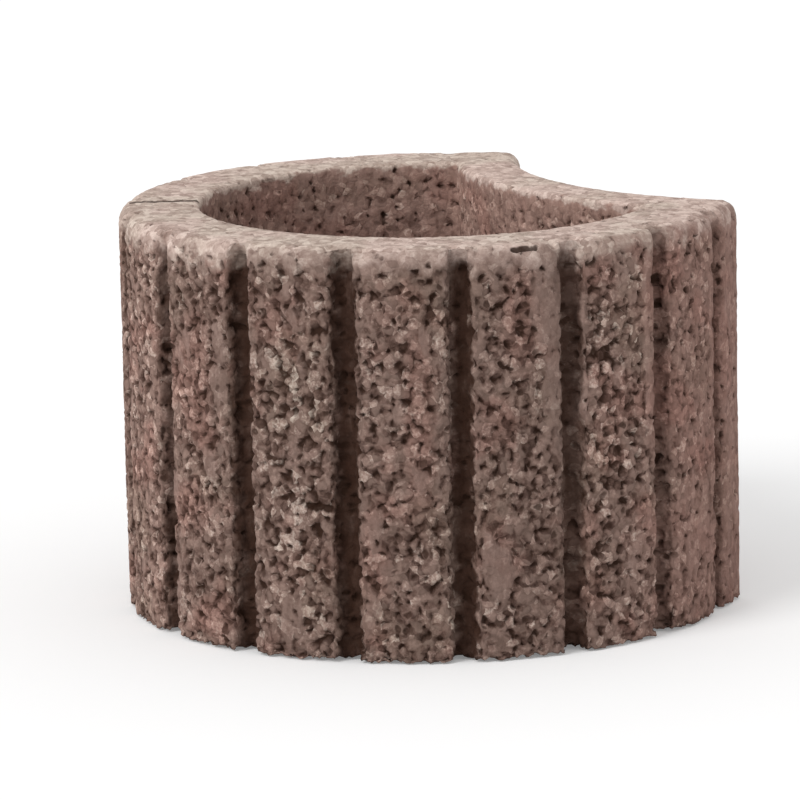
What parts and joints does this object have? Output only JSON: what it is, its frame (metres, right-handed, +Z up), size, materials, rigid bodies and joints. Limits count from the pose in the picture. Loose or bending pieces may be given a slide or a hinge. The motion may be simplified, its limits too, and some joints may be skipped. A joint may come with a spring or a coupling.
{
  "type": "planting ring",
  "caption": "Round cast-concrete planter wall, open above and below, ribbed outside, with one hollow side in which the next ring of a row nests between two horns.",
  "frame": {"origin": "on the floor, under the middle of the ring's box", "axes": "+X points out of the hollow side, towards the next ring; +Y runs across the ring, from horn to horn; +Z is up, along the bore"},
  "size_m": [0.2695, 0.304, 0.2],
  "materials": {
    "concrete": "rough, open-pored brown concrete"
  },
  "bodies": {
    "root": {"planting_ring": "concrete"}
  },
  "joints": []
}
